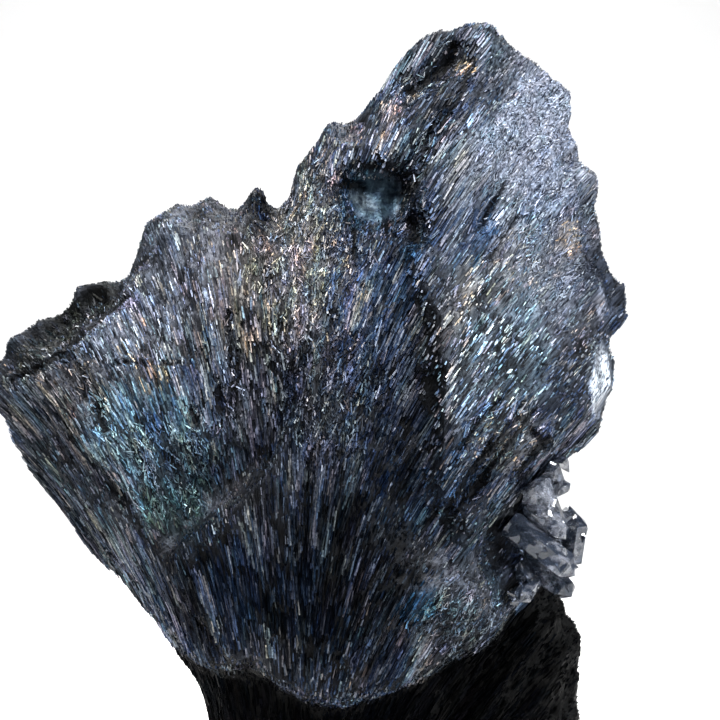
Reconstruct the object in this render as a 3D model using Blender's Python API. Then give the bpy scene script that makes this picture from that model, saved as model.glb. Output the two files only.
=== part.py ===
"""A berthierite specimen: a fan of metallic needles grown together, with a crust of grey quartz.

Metres, +Z up, the best face towards -Y. The specimen stands on its flat broken foot at z = 0.
The fan is laid out in mm: x across it, z up from the foot, and y in depth from its middle plane.
"""

import random

import bmesh
import bpy
import numpy as np
from mathutils import Matrix, Vector, noise

MM = 0.001

# The outline seen square on, as (x, z) from the foot's left corner, clockwise.
# Its foot runs on below the cut.
FAN_OUTLINE = [
    (-12, -30), (-14, 6), (-15, 12.5), (-16.5, 16), (-19.5, 20.5), (-23, 26), (-28.1, 32), (-33, 37.1),
    (-35, 40.5), (-38.8, 44.6), (-41.8, 49.4), (-44.2, 54.4), (-45.6, 58.5), (-45.9, 62.3), (-44.8, 64.5),
    (-43.9, 66.4), (-41.9, 67.9), (-40.2, 70.2), (-37.6, 70.6), (-35.2, 71.9), (-35, 74.3), (-32.9, 75.5),
    (-30, 75.5), (-27.9, 74.7), (-26.6, 77), (-24.8, 80.5), (-24.9, 84), (-22.3, 85.4), (-19.4, 87.7),
    (-17.3, 86.2), (-14.6, 88.5), (-12.4, 86.4), (-10.4, 85.4), (-9.5, 87.2), (-8.4, 89.4), (-6.9, 89.8),
    (-6, 88.3), (-5.3, 86.2), (-4.5, 84.9), (-3.5, 86), (-2.6, 89), (-1.8, 91.5),
    (0, 94), (2, 97.4), (3.4, 98.4), (6, 97.7),
    (9.4, 101.9), (11.3, 105.4), (14.6, 109.6), (17, 111.3), (20.6, 112), (24.3, 113), (26.4, 113.4),
    (28.7, 111.7), (30.2, 109.7), (33.3, 106.7), (35.4, 105.9), (38.3, 102.6), (38.7, 99.4), (37.9, 96.8),
    (40.2, 94.5), (38.9, 92.7), (41.6, 90.4), (42.1, 86.5), (42.4, 82), (42.6, 78.8), (43.8, 77.2),
    (46, 74.9), (46.3, 68.8), (43.7, 67.1), (44.6, 64.6), (44.4, 60.5), (43.1, 57.5), (42.8, 53),
    (39.6, 50.2),
    (36, 48), (34, 44), (33, 41), (33.5, 36), (36, 32), (38.5, 28), (40, 22), (40, 12), (38, -30),
]
SLAB_THICKNESS = 12.0
VOXEL = 0.9
FAN_TRIANGLES = 9600
CUT_CLEARANCE = 0.25

# How far the front and the back stand from the middle plane on the fan's axis, as (height, depth).
FRONT_PROFILE = [
    (-5, 5), (8, 9), (18, 14.5), (30, 17.5), (42, 19.8), (52, 20.5), (62, 18), (75, 13), (88, 8.5),
    (100, 5.5),
    (113, 3),
]
BACK_PROFILE = [(-5, 25), (15, 26), (32, 25), (50, 22), (68, 18.5), (84, 13.5), (100, 10), (113, 7)]

# The axis's x, and how far it drifts right per mm above DRIFT_FROM. Depth falls off on its left and right.
FRONT_AXIS = {"x": 4, "drift": 0.30, "left": 0.036, "right": 0.050}
BACK_AXIS = {"x": 6, "drift": 0.22, "left": 0.040, "right": 0.040}
DRIFT_FROM = 62.0
FALL_POWER = 1.5

# The rim's y at x = 0 and its slope, the fan's least thickness, and each bevel's least share and its width.
RIM_Y = 4.0
RIM_SLOPE = -0.06
LEAST_THICKNESS = 3.5
FRONT_BEVEL = (0.45, 4.0)
BACK_BEVEL = (0.35, 12.0)

# Steps as (softness, reach, line of (x, z, height)). They rise on the line's right, or drop on its left.
SLAB_STEP = (1.8, 26, [
    (27, 28, 0), (26.5, 32, 1), (22, 40, 3), (18, 46.5, 3.5), (18.5, 58, 3.5), (17.5, 68, 2.5),
    (13.5, 78, 2.5),
    (14, 86, 3.5), (17.5, 94.5, 4), (21, 100, 3.4), (23.5, 106, 0),
])
SHELF_STEP = (1.6, 22, [
    (-19, 36, 0), (-17, 39, 6), (-12, 43.5, 7.5), (-6.5, 48, 7.5), (-3.5, 54, 6), (-0.5, 60, 4), (3, 66, 0),
])
QUARTZ_STEP = (3.0, 60, [
    (43, 59, 0), (36, 52.5, 5), (30.5, 48.5, 7.5), (26.5, 44, 9), (23.5, 38.5, 9), (26.5, 32, 9),
    (27.5, 28, 7),
    (28, 18, 0),
])
BACK_STEPS = [
    (1.6, 18, [(-34, 58, 0), (-20, 55, 3), (-6, 60, 3.5), (6, 56, 3), (14, 62, 0)]),
    (1.8, 16, [(-10, 22, 0), (4, 27, 3), (16, 24, 3), (30, 34, 0)]),
    (1.6, 14, [(22, 100, 0), (18, 86, 2.5), (24, 74, 2.5), (20, 60, 0)]),
]

# The left side face and the left lobe's broken top fall away to the left of their lines, by the last number.
LEFT_FACE = [
    (-8, -30, 1), (-9, 16, 1), (-11.5, 22.5, 1), (-17, 32.5, 1), (-26.5, 47.5, 1), (-34.5, 58.5, 1),
    (-44, 62, 1),
]
LEFT_TOP = [(-44, 62, 2), (-34, 66, 2), (-27.5, 70, 2), (-23, 79, 2)]
LEFT_LOBE_X = -22.0
LEFT_CORNER_Z = 63.0

# The front's lower edge, below which it is undercut back to the underside.
BOTTOM_EDGE = [
    (-20, 24, 9), (-14, 22, 9), (-7.5, 24, 9), (-2, 19.5, 9), (2, 17.5, 9), (5.5, 17.5, 9), (15.5, 20.5, 10),
    (27, 27.5, 10), (34, 33, 9), (44, 38, 9),
]
UNDERCUT_HEIGHT = 4.5
UNDERSIDE = {"x": 8, "depth": 4.5, "fall": 0.004}

# Grooves, ridges and the lines they follow: (width, line of (x, z, depth or height)).
GROOVES = [
    (2.2, [(23, 104, 0), (20.5, 100, 2), (16.8, 94.5, 2.4), (13.2, 86, 2.4), (12.8, 78, 1)]),
    (7.0, [(11, 70, 0), (13.5, 60, 2.5), (14, 50, 3.5), (15.5, 41, 3), (19, 33, 0)]),
    (1.8, [(20.5, 77, 0), (24, 83, 2), (28.5, 91, 0)]),
    (1.8, [(19.5, 43, 0), (24, 47, 3.5), (29.5, 52.5, 3), (35, 58.5, 0)]),
    (1.6, [(23, 41, 0), (28, 45.5, 2.5), (34, 52, 0)]),
    (1.8, [(-10.5, 73, 0), (-10.2, 66, 1.6), (-9, 54, 0)]),
    (1.4, [(-30, 64.5, 0), (-26, 64, 1.4), (-22, 63.5, 0)]),
    (3.8, [(13.5, 101, 2), (16.5, 104.5, 5), (21.5, 108, 5), (23, 109, 2)]),
    (1.6, [(-3.8, 88, 3), (-4, 83, 1.5), (-3.5, 78, 0)]),
]
RIDGES = [
    (1.6, [(18.5, 69, 0), (18.6, 60, 1.4), (18.2, 47, 1.6), (21.5, 40.5, 1.6), (25, 34, 0.5)]),
    (6.5, [(17, 33, 1.5), (22, 30.5, 3.5), (25, 29, 3)]),
    (2.0, [(-17, 38, 0.8), (-12, 42, 1.4), (-6, 46.5, 1.4), (-2, 56, 0.5)]),
]

# Round hollows in the front: (x, z, radius, depth).
PITS = [(10, 86.5, 4.8, 4.5), (15, 82, 2.2, 3.5), (25.5, 72, 1.4, 2)]

# The broken faces of the back: (x, z, depth) of a point on each, and its slopes along x and z.
BACK_FACES = [
    (-25, 70, 9.5, 0.42, -0.35), (34, 18, 18, -0.75, 0.2), (34, 72, 9.5, -0.85, -0.1),
    (0, 50, 20.5, 0.06, -0.1), (-18, 28, 15, 0.85, 0.1), (15, 95, 10.5, -0.1, -0.3), (8, 4, 23.5, 0.05, 0.5),
]

# Bundles of needles, as rounded ribs along the fan: (width, length, height). They are lower on its edges.
RIBS = [(6.5, 26, 1.2), (2.6, 15, 0.8)]
RIB_CONTRAST = 0.22
RIB_STEPS = 4
SIDE_SHARE = 0.4

# The needles lean out by up to SPREAD degrees right of the axis, and by LEFT_SPREAD degrees a mm left of it.
SPREAD = 45.0
SPREAD_WIDTH = 14.0
LEFT_SPREAD = 1.05

# The quartz: its broken lumps as (centre, radii), and its larger crystals as
# (root, radius, length, direction).
QUARTZ_GAP = 0.4
QUARTZ_LUMPS = [
    ((37.2, 0.0, 51.2), (3.2, 4.2, 2.8)), ((34.6, -2.0, 48.6), (3.6, 4.6, 3.0)),
    ((32.2, -4.0, 44.8), (4.0, 4.8, 3.6)), ((34.2, -3.0, 40.6), (3.2, 5.0, 4.6)),
    ((37.6, 0.5, 38.4), (3.0, 4.8, 5.2)), ((35.8, -2.0, 33.6), (3.4, 4.4, 3.2)),
    ((31.6, -3.5, 33.4), (3.4, 4.4, 3.0)), ((28.8, -5.0, 30.4), (2.0, 3.2, 2.0)),
    ((33.0, 0.5, 38.0), (3.4, 5.0, 6.5)),
]
LUMP_CORNERS = 13
QUARTZ_CRYSTALS = [
    ((32.4, -6.4, 37.6), 2.3, 10.0, (0.78, -0.15, -0.6)), ((33.6, -5.8, 41.4), 1.5, 6.0, (0.7, -0.25, -0.68)),
    ((38.2, -0.5, 37.6), 1.9, 6.0, (0.1, -0.3, 0.95)), ((31.4, -6.2, 31.8), 1.3, 4.0, (-0.5, -0.6, -0.6)),
    ((35.6, -4.5, 32.6), 1.6, 4.5, (0.5, -0.6, -0.6)), ((35.2, -4.2, 47.4), 1.3, 4.0, (-0.3, -0.6, 0.7)),
]
SMALL_CRYSTALS = 6
SMALL_PATCH = ((29, 37), (-6, -3), (31, 47))
SMALL_RADIUS = (0.7, 1.1)
SMALL_LENGTH = (2.4, 3.8)
TIP_SHARE = 0.8


def clear_scene():
    for thing in list(bpy.data.objects):
        bpy.data.objects.remove(thing, do_unlink=True)


def new_object(name, mesh):
    thing = bpy.data.objects.new(name, mesh)
    bpy.context.scene.collection.objects.link(thing)
    return thing


def applied(thing):
    """The mesh of an object with its modifiers worked in, and the object itself removed."""
    bpy.context.view_layer.update()
    graph = bpy.context.evaluated_depsgraph_get()
    mesh = bpy.data.meshes.new_from_object(thing.evaluated_get(graph))
    bpy.data.objects.remove(thing, do_unlink=True)
    return mesh


def remeshed(mesh):
    """The mesh rebuilt from small even squares."""
    thing = new_object("shape", mesh)
    fuse = thing.modifiers.new("fuse", "REMESH")
    fuse.mode = "VOXEL"
    fuse.voxel_size = VOXEL * MM
    return applied(thing)


def thinned(mesh, triangles):
    thing = new_object("shape", mesh)
    mesh.calc_loop_triangles()
    thin = thing.modifiers.new("thin", "DECIMATE")
    thin.ratio = triangles / len(mesh.loop_triangles)
    return applied(thing)


def cut_away(mesh, cutter_mesh):
    thing = new_object("shape", mesh)
    cutter = new_object("cutter", cutter_mesh)
    cutter.hide_render = True
    cutter.display_type = "WIRE"
    cut = thing.modifiers.new("cut", "BOOLEAN")
    cut.operation = "DIFFERENCE"
    cut.use_self = True
    cut.object = cutter
    mesh = applied(thing)
    bpy.data.objects.remove(cutter, do_unlink=True)
    return mesh


def points_of(mesh):
    """The vertices of a mesh in mm, one row each."""
    flat = np.empty(len(mesh.vertices) * 3)
    mesh.vertices.foreach_get("co", flat)
    return flat.reshape(-1, 3) / MM


def normals_of(mesh):
    flat = np.empty(len(mesh.vertices) * 3)
    mesh.vertices.foreach_get("normal", flat)
    return flat.reshape(-1, 3)


def set_points(mesh, points):
    mesh.vertices.foreach_set("co", (points * MM).ravel())
    mesh.update()


def ease(share):
    """A smooth step from 0 to 1."""
    share = np.clip(share, 0, 1)
    return share * share * (3 - 2 * share)


def along(x, z, line):
    """Each point's distance to a line, the same signed (+ on the right), and the line's value."""
    best = np.full(x.shape, np.inf)
    side = np.zeros(x.shape)
    value = np.zeros(x.shape)
    for (ax, az, av), (bx, bz, bv) in zip(line, line[1:]):
        dx = bx - ax
        dz = bz - az
        share = np.clip(((x - ax) * dx + (z - az) * dz) / (dx * dx + dz * dz), 0, 1)
        away = np.hypot(x - ax - share * dx, z - az - share * dz)
        nearer = away < best
        best = np.where(nearer, away, best)
        side = np.where(nearer, np.sign((x - ax) * dz - (z - az) * dx), side)
        value = np.where(nearer, av + share * (bv - av), value)
    return best, side * best, value


def step_up(x, z, softness, reach, line):
    """The rise on the right of a line, which dies away with distance."""
    away, side, rise = along(x, z, line)
    return rise * ease(0.5 + side / softness) * np.exp(-away / reach)


def step_down(x, z, softness, reach, line):
    """The drop on the left of a line, which dies away with distance."""
    away, side, drop = along(x, z, line)
    return drop * ease(0.5 - side / softness) * np.exp(-away / reach)


def slope_away(x, z, line):
    """The drop to the left of a line, by the line's slope."""
    _, side, slope = along(x, z, line)
    return slope * np.maximum(-side, 0)


def swelling(x, z, axis, profile):
    """The smooth depth of one side of the fan: its profile on the axis, less a fall to either side."""
    off = x - axis["x"] - axis["drift"] * np.maximum(z - DRIFT_FROM, 0)
    fall = np.where(off < 0, axis["left"], axis["right"])
    return np.interp(z, *zip(*profile)) - fall * np.abs(off) ** FALL_POWER


def front_depth(x, z):
    """How far the front stands towards -Y from the middle plane."""
    depth = swelling(x, z, FRONT_AXIS, FRONT_PROFILE)
    depth += step_up(x, z, *SLAB_STEP)
    depth -= step_down(x, z, *SHELF_STEP) + step_down(x, z, *QUARTZ_STEP)
    depth -= np.where(z < LEFT_CORNER_Z, slope_away(x, z, LEFT_FACE), 0)
    depth -= np.where((x < LEFT_LOBE_X) & (z > LEFT_CORNER_Z), slope_away(x, z, LEFT_TOP), 0)
    for width, line in RIDGES:
        away, _, rise = along(x, z, line)
        depth += rise * np.exp(-1.5 * (away / width) ** 2)
    for width, line in GROOVES:
        away, _, fall = along(x, z, line)
        depth -= fall * np.exp(-2 * (away / width) ** 2)
    for pit_x, pit_z, radius, fall in PITS:
        depth -= fall * ease(1.35 - np.hypot(x - pit_x, z - pit_z) / radius)
    _, side, fall = along(x, z, BOTTOM_EDGE)
    undercut = depth - fall * ease(side / UNDERCUT_HEIGHT)
    underside = UNDERSIDE["depth"] - UNDERSIDE["fall"] * (x - UNDERSIDE["x"]) ** 2
    return np.minimum(depth, np.maximum(undercut, underside))


def back_depth(x, z):
    """How far the back stands towards +Y from the middle plane."""
    depth = swelling(x, z, BACK_AXIS, BACK_PROFILE)
    for face_x, face_z, level, slope_x, slope_z in BACK_FACES:
        depth = np.minimum(depth, level + slope_x * (x - face_x) + slope_z * (z - face_z))
    for step in BACK_STEPS:
        depth -= step_down(x, z, *step)
    return depth


def bevelled(depth, rim, rim_y, bevel):
    """A surface's y, drawn in towards the rim's own y near the rim."""
    least, width = bevel
    return rim_y + (depth - rim_y) * (least + (1 - least) * ease(rim / width))


def slab_mesh():
    """The outline drawn out to a flat slab of small even squares."""
    shape = bmesh.new()
    corners = [shape.verts.new((x * MM, -SLAB_THICKNESS / 2 * MM, z * MM)) for x, z in FAN_OUTLINE]
    out = bmesh.ops.extrude_face_region(shape, geom=[shape.faces.new(corners)])
    moved = [piece for piece in out["geom"] if isinstance(piece, bmesh.types.BMVert)]
    bmesh.ops.translate(shape, verts=moved, vec=(0, SLAB_THICKNESS * MM, 0))
    bmesh.ops.triangulate(shape, faces=shape.faces)
    bmesh.ops.recalc_face_normals(shape, faces=shape.faces)
    mesh = bpy.data.meshes.new("slab")
    shape.to_mesh(mesh)
    shape.free()
    return remeshed(mesh)


def lean(x):
    """The tangent of the needles' lean from upright, by place across the fan."""
    right = SPREAD * (1 - np.exp(-np.abs(x) / SPREAD_WIDTH))
    return np.tan(np.radians(np.where(x > 0, right, LEFT_SPREAD * x)))


def ribs(points, width, length):
    """Rounded ribs that run with the needles: 0 in the grooves between them and about 1 on their crests."""
    total = np.array([noise.noise(Vector(point)) for point in points / width])
    for way in (-1, 1):
        place = points.copy()
        for _ in range(RIB_STEPS):
            slope = lean(place[:, 0])
            stride = way * length / (2 * RIB_STEPS) / np.hypot(1, slope)
            place[:, 0] += slope * stride
            place[:, 2] += stride
            total += [noise.noise(Vector(point)) for point in place / width]
    mean = total / (2 * RIB_STEPS + 1)
    return np.minimum(np.abs(mean) / RIB_CONTRAST, 1.4)


def cut_flat(mesh):
    """The mesh cut off flat at z = 0, with points that nearly lie on the cut put just below it."""
    shape = bmesh.new()
    shape.from_mesh(mesh)
    for vert in shape.verts:
        if abs(vert.co.z) < CUT_CLEARANCE * MM:
            vert.co.z = -CUT_CLEARANCE * MM
    everything = shape.verts[:] + shape.edges[:] + shape.faces[:]
    down = (0, 0, -1)
    cut = bmesh.ops.bisect_plane(shape, geom=everything, plane_co=(0, 0, 0), plane_no=down, clear_outer=True)
    rim = [piece for piece in cut["geom_cut"] if isinstance(piece, bmesh.types.BMEdge)]
    bmesh.ops.holes_fill(shape, edges=rim)
    bmesh.ops.triangulate(shape, faces=[face for face in shape.faces if len(face.verts) > 4])
    shape.to_mesh(mesh)
    shape.free()
    return mesh


def fan_mesh():
    """The slab with its faces moved out to the front and the back, ribbed, thinned out and cut flat."""
    mesh = slab_mesh()
    points = points_of(mesh)
    x, y, z = points.T
    rim = along(x, z, [(corner_x, corner_z, 0) for corner_x, corner_z in FAN_OUTLINE])[0]
    rim_y = RIM_Y + RIM_SLOPE * x
    front = bevelled(-front_depth(x, z), rim, rim_y, FRONT_BEVEL)
    back = bevelled(back_depth(x, z), rim, rim_y, BACK_BEVEL)
    front = np.minimum(front, back - LEAST_THICKNESS)
    share = np.clip(y / SLAB_THICKNESS + 0.5, 0, 1)
    points[:, 1] = front + (back - front) * share
    set_points(mesh, points)

    mesh = remeshed(mesh)
    points = points_of(mesh)
    normals = normals_of(mesh)
    rise = sum(height * (ribs(points, width, length) - 0.5) for width, length, height in RIBS)
    rise *= SIDE_SHARE + (1 - SIDE_SHARE) * np.abs(normals[:, 1])
    set_points(mesh, points + normals * rise[:, None])
    return cut_flat(thinned(mesh, FAN_TRIANGLES))


def merge_into(whole, piece):
    """Adds a bmesh to another and frees it."""
    part = bpy.data.meshes.new("piece")
    piece.to_mesh(part)
    piece.free()
    whole.from_mesh(part)
    bpy.data.meshes.remove(part)


def add_lump(whole, centre, radii, draw):
    """A broken lump: flat faces stretched over corners set unevenly round its centre."""
    lump = bmesh.new()
    for _ in range(LUMP_CORNERS):
        corner = Vector([draw.gauss(0, 1) for _ in range(3)]).normalized() * draw.uniform(0.86, 1.04)
        lump.verts.new([(middle + radius * part) * MM for middle, radius, part in zip(centre, radii, corner)])
    hull = bmesh.ops.convex_hull(lump, input=lump.verts)
    inside = [piece for piece in hull["geom_interior"] if isinstance(piece, bmesh.types.BMVert)]
    bmesh.ops.delete(lump, geom=inside, context="VERTS")
    bmesh.ops.recalc_face_normals(lump, faces=lump.faces)
    merge_into(whole, lump)


def add_crystal(whole, root, radius, length, way, turn):
    """A six-sided prism with a six-faced point, half of it behind its root."""
    shape = bmesh.new()
    wide = radius * MM
    bmesh.ops.create_cone(shape, segments=6, radius1=wide, radius2=wide, depth=length * MM, cap_ends=True)
    top = max(shape.faces, key=lambda face: face.calc_center_median().z)
    tip = bmesh.ops.poke(shape, faces=[top])["verts"][0]
    tip.co.z += radius * TIP_SHARE * MM
    turned = Vector(way).to_track_quat("Z", "Y").to_matrix().to_4x4() @ Matrix.Rotation(turn, 4, "Z")
    bmesh.ops.transform(shape, matrix=Matrix.Translation(Vector(root) * MM) @ turned, verts=shape.verts)
    merge_into(whole, shape)


def largest_piece(mesh):
    """The mesh without the loose bits that a cut leaves beside its largest piece."""
    shape = bmesh.new()
    shape.from_mesh(mesh)
    left = set(shape.verts)
    pieces = []
    while left:
        piece = set()
        waiting = [left.pop()]
        while waiting:
            vert = waiting.pop()
            piece.add(vert)
            near = {edge.other_vert(vert) for edge in vert.link_edges} & left
            left -= near
            waiting.extend(near)
        pieces.append(piece)
    kept = max(pieces, key=len)
    bmesh.ops.delete(shape, geom=[vert for vert in shape.verts if vert not in kept], context="VERTS")
    shape.to_mesh(mesh)
    shape.free()
    return mesh


def quartz_mesh(fan):
    """The lumps and crystals joined, and cut back to stand just clear of the fan."""
    draw = random.Random(11)
    whole = bmesh.new()
    for centre, radii in QUARTZ_LUMPS:
        add_lump(whole, centre, radii, draw)
    for root, radius, length, way in QUARTZ_CRYSTALS:
        add_crystal(whole, root, radius, length, way, draw.uniform(0, 1))
    for _ in range(SMALL_CRYSTALS):
        root = [draw.uniform(low, high) for low, high in SMALL_PATCH]
        way = (draw.uniform(-0.2, 1), draw.uniform(-1, -0.2), draw.uniform(-0.6, 0.8))
        radius = draw.uniform(*SMALL_RADIUS)
        length = draw.uniform(*SMALL_LENGTH)
        add_crystal(whole, root, radius, length, way, draw.uniform(0, 1))
    mesh = bpy.data.meshes.new("crystals")
    whole.to_mesh(mesh)
    whole.free()
    swollen = fan.copy()
    set_points(swollen, points_of(fan) + normals_of(fan) * QUARTZ_GAP)
    return largest_piece(cut_away(mesh, swollen))


def material(name, colour, metallic, roughness):
    made = bpy.data.materials.new(name)
    made.use_nodes = True
    surface = made.node_tree.nodes["Principled BSDF"]
    surface.inputs["Base Color"].default_value = (*colour, 1)
    surface.inputs["Metallic"].default_value = metallic
    surface.inputs["Roughness"].default_value = roughness
    return made


def finished(name, mesh, surface):
    mesh.materials.clear()
    mesh.materials.append(surface)
    return new_object(name, mesh)


def stand_on_origin(things):
    """Puts the things so that the middle of their common box stands on the origin."""
    corners = np.concatenate([points_of(thing.data) for thing in things])
    middle = (corners.min(axis=0) + corners.max(axis=0)) / 2
    for thing in things:
        thing.location = (-middle[0] * MM, -middle[1] * MM, 0)


clear_scene()
fan_shape = fan_mesh()
quartz_shape = quartz_mesh(fan_shape)
fan = finished("berthierite_fan", fan_shape, material("berthierite", (0.09, 0.10, 0.12), 0.75, 0.42))
quartz = finished("quartz_crust", quartz_shape, material("quartz", (0.50, 0.52, 0.55), 0.0, 0.15))
stand_on_origin([fan, quartz])
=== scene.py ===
import math

import bmesh
import bpy
import numpy as np
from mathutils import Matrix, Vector
from mathutils.bvhtree import BVHTree


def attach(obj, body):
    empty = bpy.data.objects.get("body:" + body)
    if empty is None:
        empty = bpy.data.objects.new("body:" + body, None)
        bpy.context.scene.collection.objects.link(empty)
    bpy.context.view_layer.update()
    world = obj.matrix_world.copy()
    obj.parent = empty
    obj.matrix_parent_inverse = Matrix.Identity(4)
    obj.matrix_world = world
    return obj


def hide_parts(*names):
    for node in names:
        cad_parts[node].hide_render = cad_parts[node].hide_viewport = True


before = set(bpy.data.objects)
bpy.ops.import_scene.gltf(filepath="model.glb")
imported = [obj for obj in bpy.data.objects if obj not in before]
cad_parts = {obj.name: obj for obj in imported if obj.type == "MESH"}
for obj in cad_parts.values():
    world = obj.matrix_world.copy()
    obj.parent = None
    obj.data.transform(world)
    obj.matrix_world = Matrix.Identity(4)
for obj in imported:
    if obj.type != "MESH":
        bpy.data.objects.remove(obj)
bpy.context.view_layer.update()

# The stand: a pale floor that sweeps up behind the specimen, with one wide soft light high in
# front, a weaker one from the right and a strong one on the backdrop.
MM = 0.001
AIM = Vector((7.6, 0.65, 63.8)) * MM
CAMERA_DISTANCE = 249 * MM
FLOOR_HALF_WIDTH = 2.5
FLOOR_DROP = 0.0005
FLOOR_NEAR = -1.2
FLOOR_FAR = 0.7
SWEEP_RADIUS = 0.5
WALL_HEIGHT = 1.5

camera_data = bpy.data.cameras.new("camera")
camera_data.lens = 85
camera_data.sensor_width = 36
camera_data.clip_start = 0.01
camera = bpy.data.objects.new("camera", camera_data)
camera.location = AIM + Vector((0, -CAMERA_DISTANCE, 0))
camera.rotation_euler = (math.radians(90), 0, 0)
bpy.context.collection.objects.link(camera)
bpy.context.scene.camera = camera


def piece_from(bm, name):
    """A finished object at the origin, holding this shape."""
    mesh = bpy.data.meshes.new(name)
    bm.to_mesh(mesh)
    bm.free()
    made = bpy.data.objects.new(name, mesh)
    bpy.context.collection.objects.link(made)
    return made


def soft_light(name, place, aim, size, watts, colour):
    """A square soft box that looks at a point."""
    light = bpy.data.lights.new(name, "AREA")
    light.size = size
    light.energy = watts
    light.color = colour
    made = bpy.data.objects.new(name, light)
    made.location = place
    made.rotation_euler = (aim - Vector(place)).to_track_quat("-Z", "Y").to_euler()
    bpy.context.collection.objects.link(made)
    return made


sweep = bmesh.new()
near_edge = [sweep.verts.new((side * FLOOR_HALF_WIDTH, FLOOR_NEAR, -FLOOR_DROP)) for side in (-1, 1)]
front_edge = sweep.edges.new(near_edge)
reach = bmesh.ops.extrude_edge_only(sweep, edges=[front_edge])["geom"]
far = [v for v in reach if isinstance(v, bmesh.types.BMVert)]
bmesh.ops.translate(sweep, vec=(0, FLOOR_FAR - FLOOR_NEAR, 0), verts=far)
bmesh.ops.spin(sweep, geom=far + [e for e in reach if isinstance(e, bmesh.types.BMEdge)],
               axis=(1, 0, 0), cent=(0, FLOOR_FAR, SWEEP_RADIUS), angle=math.radians(90), steps=24)
top = sorted(sweep.verts, key=lambda v: v.co.z)[-2:]
rim_edge = [e for e in sweep.edges if e.verts[0] in top and e.verts[1] in top]
wall = bmesh.ops.extrude_edge_only(sweep, edges=rim_edge)["geom"]
wall_top = [v for v in wall if isinstance(v, bmesh.types.BMVert)]
bmesh.ops.translate(sweep, vec=(0, 0, WALL_HEIGHT), verts=wall_top)
bmesh.ops.recalc_face_normals(sweep, faces=sweep.faces)
floor = piece_from(sweep, "floor")
floor.data.shade_smooth()

paper = bpy.data.materials.new("pale_paper")
paper.use_nodes = True
paper_shader = paper.node_tree.nodes["Principled BSDF"]
paper_shader.inputs["Roughness"].default_value = 0.9
paper_shader.inputs["Specular IOR Level"].default_value = 0.1
paper_noise = paper.node_tree.nodes.new("ShaderNodeTexNoise")
paper_noise.inputs["Scale"].default_value = 6
paper_tone = paper.node_tree.nodes.new("ShaderNodeValToRGB")
paper_tone.color_ramp.elements[0].color = (0.60, 0.60, 0.60, 1)
paper_tone.color_ramp.elements[1].color = (0.64, 0.64, 0.64, 1)
paper.node_tree.links.new(paper_noise.outputs["Fac"], paper_tone.inputs["Fac"])
paper.node_tree.links.new(paper_tone.outputs["Color"], paper_shader.inputs["Base Color"])
floor.data.materials.append(paper)

key = soft_light("key_light", (-0.07, -0.26, 0.56), AIM, 0.28, 1.50, (1.0, 0.985, 0.96))
key.data.spread = math.radians(44)
side = soft_light("side_light", (0.48, -0.24, 0.16), AIM, 0.20, 0.40, (0.93, 0.97, 1.0))
side.data.spread = math.radians(40)
soft_light("back_light", (0.0, 0.85, 1.25), Vector((0, 0.80, 0.0)), 0.8, 32, (1, 1, 1))

studio = bpy.data.worlds.new("studio")
studio.use_nodes = True
air = studio.node_tree.nodes["Background"]
air.inputs["Color"].default_value = (0.86, 0.92, 1.0, 1)
seen = studio.node_tree.nodes.new("ShaderNodeLightPath")
glow = studio.node_tree.nodes.new("ShaderNodeMapRange")
glow.inputs["To Min"].default_value = 0.035
glow.inputs["To Max"].default_value = 1.0
studio.node_tree.links.new(seen.outputs["Is Camera Ray"], glow.inputs["Value"])
studio.node_tree.links.new(glow.outputs["Result"], air.inputs["Strength"])
bpy.context.scene.world = studio
bpy.context.scene.view_settings.view_transform = "Standard"

# The body of the fan: one grown mass of berthierite, steel grey and metallic. It is ribbed along
# the needles and tarnished in patches of navy, teal, bronze and cream. Lengths, here and in the
# sections below, are in millimetres and turns in degrees.
VOXEL = 0.55 * MM
SKIN = 0.22
# width, length, height, seed
RIBS = ((3.0, 16.0, 0.22, 3), (1.6, 12.0, 0.20, 1), (0.8, 7.0, 0.16, 2))
GRAIN_HIGH = 0.12
STRAND_WIDE = 0.42
STRAND_LONG = 3.2
CREST_HIGH = 0.25
SEAM_DEEP = 0.45
# The needles fan out from this x. On the right their lean grows to a limit over this reach,
# and on the left it grows with x.
AXIS_X = 0.1
RIGHT_LEAN = 45
RIGHT_REACH = 14
LEFT_LEAN = 1.05
# how much they lean backward low down and high up, on the front and on the back
FRONT_LEAN = (-0.18, 0.32)
BACK_LEAN = (-0.05, -0.26)
STEEL = (0.185, 0.192, 0.208)
# painted shade: the near black of the shaded underside
UNDERSIDE_SHADE = (0.0015, 0.0015, 0.0018)
# painted shade: the dark strip along the ledge on the upper left
LEDGE_SHADE = (0.034, 0.036, 0.033)
# dark patina, and also the painted shade of the low middle, the valley, the grooves and the lower left
DARK_AND_SHADE = (0.030, 0.033, 0.044)
NAVY = (0.026, 0.044, 0.080)
BLUE = (0.056, 0.112, 0.190)
AZURE = (0.090, 0.240, 0.400)
PETROL = (0.020, 0.044, 0.066)
TEAL = (0.170, 0.250, 0.285)
GREEN = (0.110, 0.180, 0.180)
SEA = (0.280, 0.370, 0.400)
BRONZE = (0.215, 0.182, 0.158)
CREAM = (0.400, 0.350, 0.280)
GOLD = (0.580, 0.420, 0.260)
PINK = (0.520, 0.410, 0.385)
PALE = (0.370, 0.395, 0.450)
# painted reflection: the bright face on the right rim
REFLECTION_SILVER = (0.500, 0.545, 0.580)
WARM_BRIGHT = (1.06, 1.02, 0.96)
COLD_DULL = (0.82, 0.94, 1.16)
LATTICE = 64
lattice = np.random.default_rng(7).random((LATTICE, LATTICE, LATTICE))
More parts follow.
